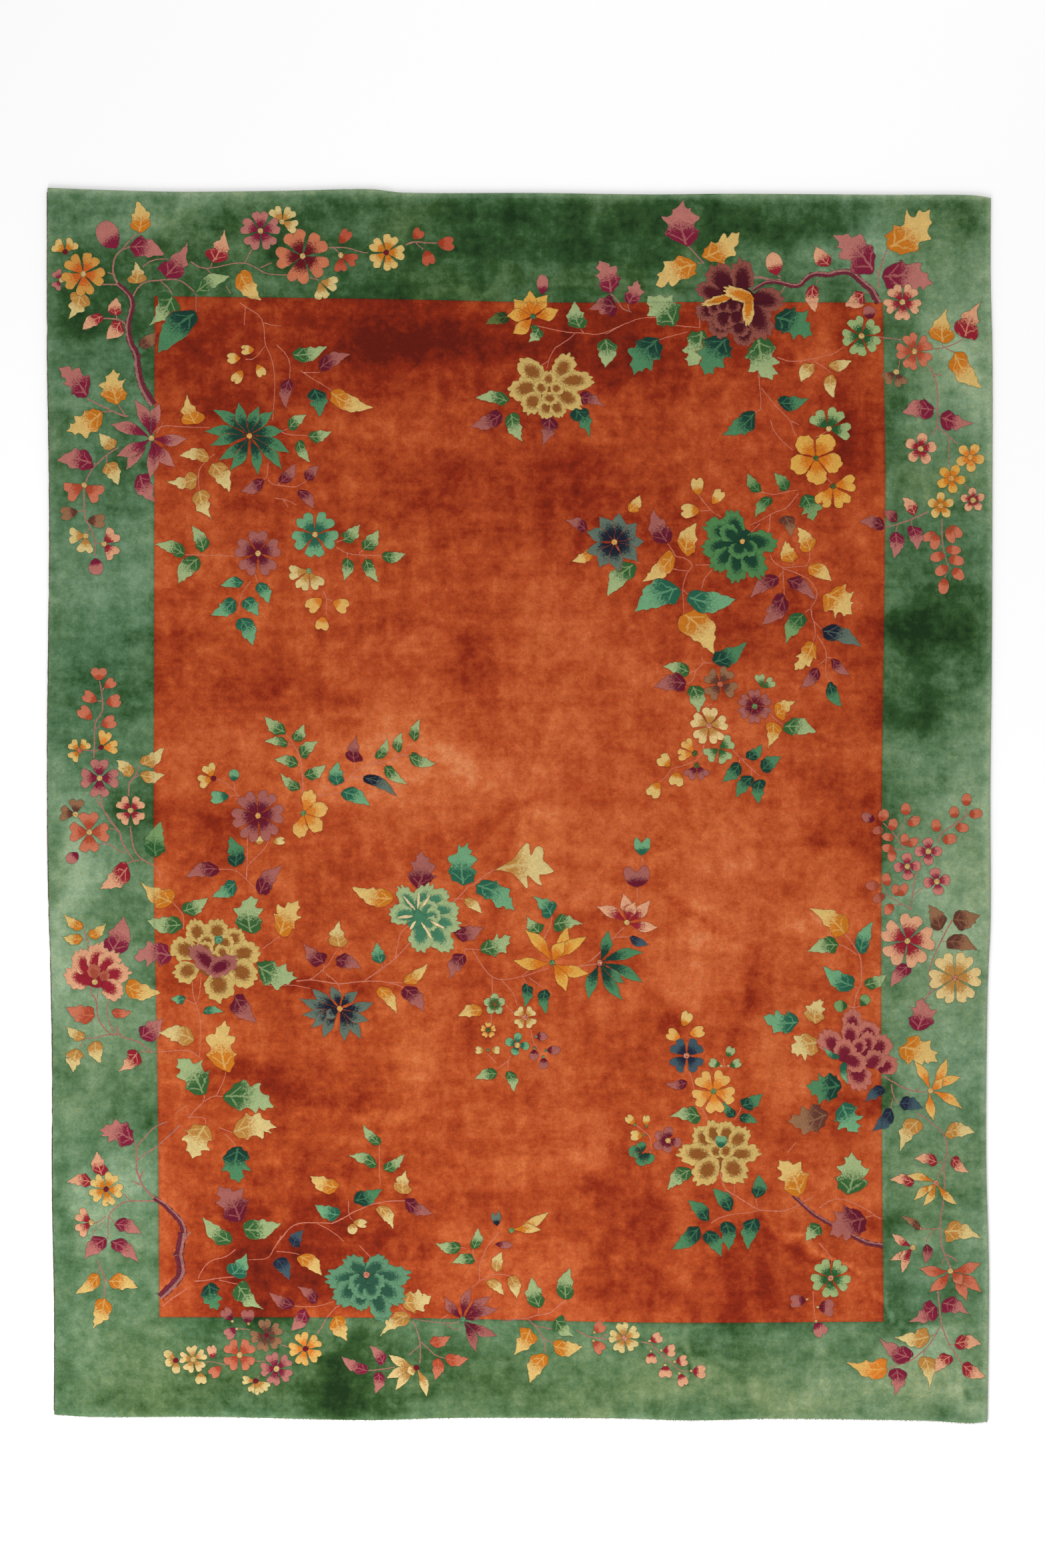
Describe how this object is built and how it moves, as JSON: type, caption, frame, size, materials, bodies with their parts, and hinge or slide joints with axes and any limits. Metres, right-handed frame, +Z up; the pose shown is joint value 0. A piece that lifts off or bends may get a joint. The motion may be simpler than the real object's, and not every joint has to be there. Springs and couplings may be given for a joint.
{
  "type": "pile carpet",
  "caption": "Room-size hand-knotted wool pile carpet in the Chinese art deco style, rust field with flower sprays and a green floral border, lying flat",
  "frame": {"origin": "on the floor under the middle of the carpet", "axes": "+Z up, +X across the width to the viewer's right, +Y along the length, away from the viewer"},
  "size_m": [2.7049, 3.5253, 0.019],
  "materials": {
    "pile_wool": "clipped wool pile",
    "binding_wool": "overcast wool yarn",
    "warp_cotton": "plain cotton warps"
  },
  "bodies": {
    "root": {"pile_carpet": "pile_wool", "side_cord_left": "binding_wool", "side_cord_right": "binding_wool", "end_web_far": "warp_cotton", "end_web_near": "warp_cotton"}
  },
  "joints": []
}
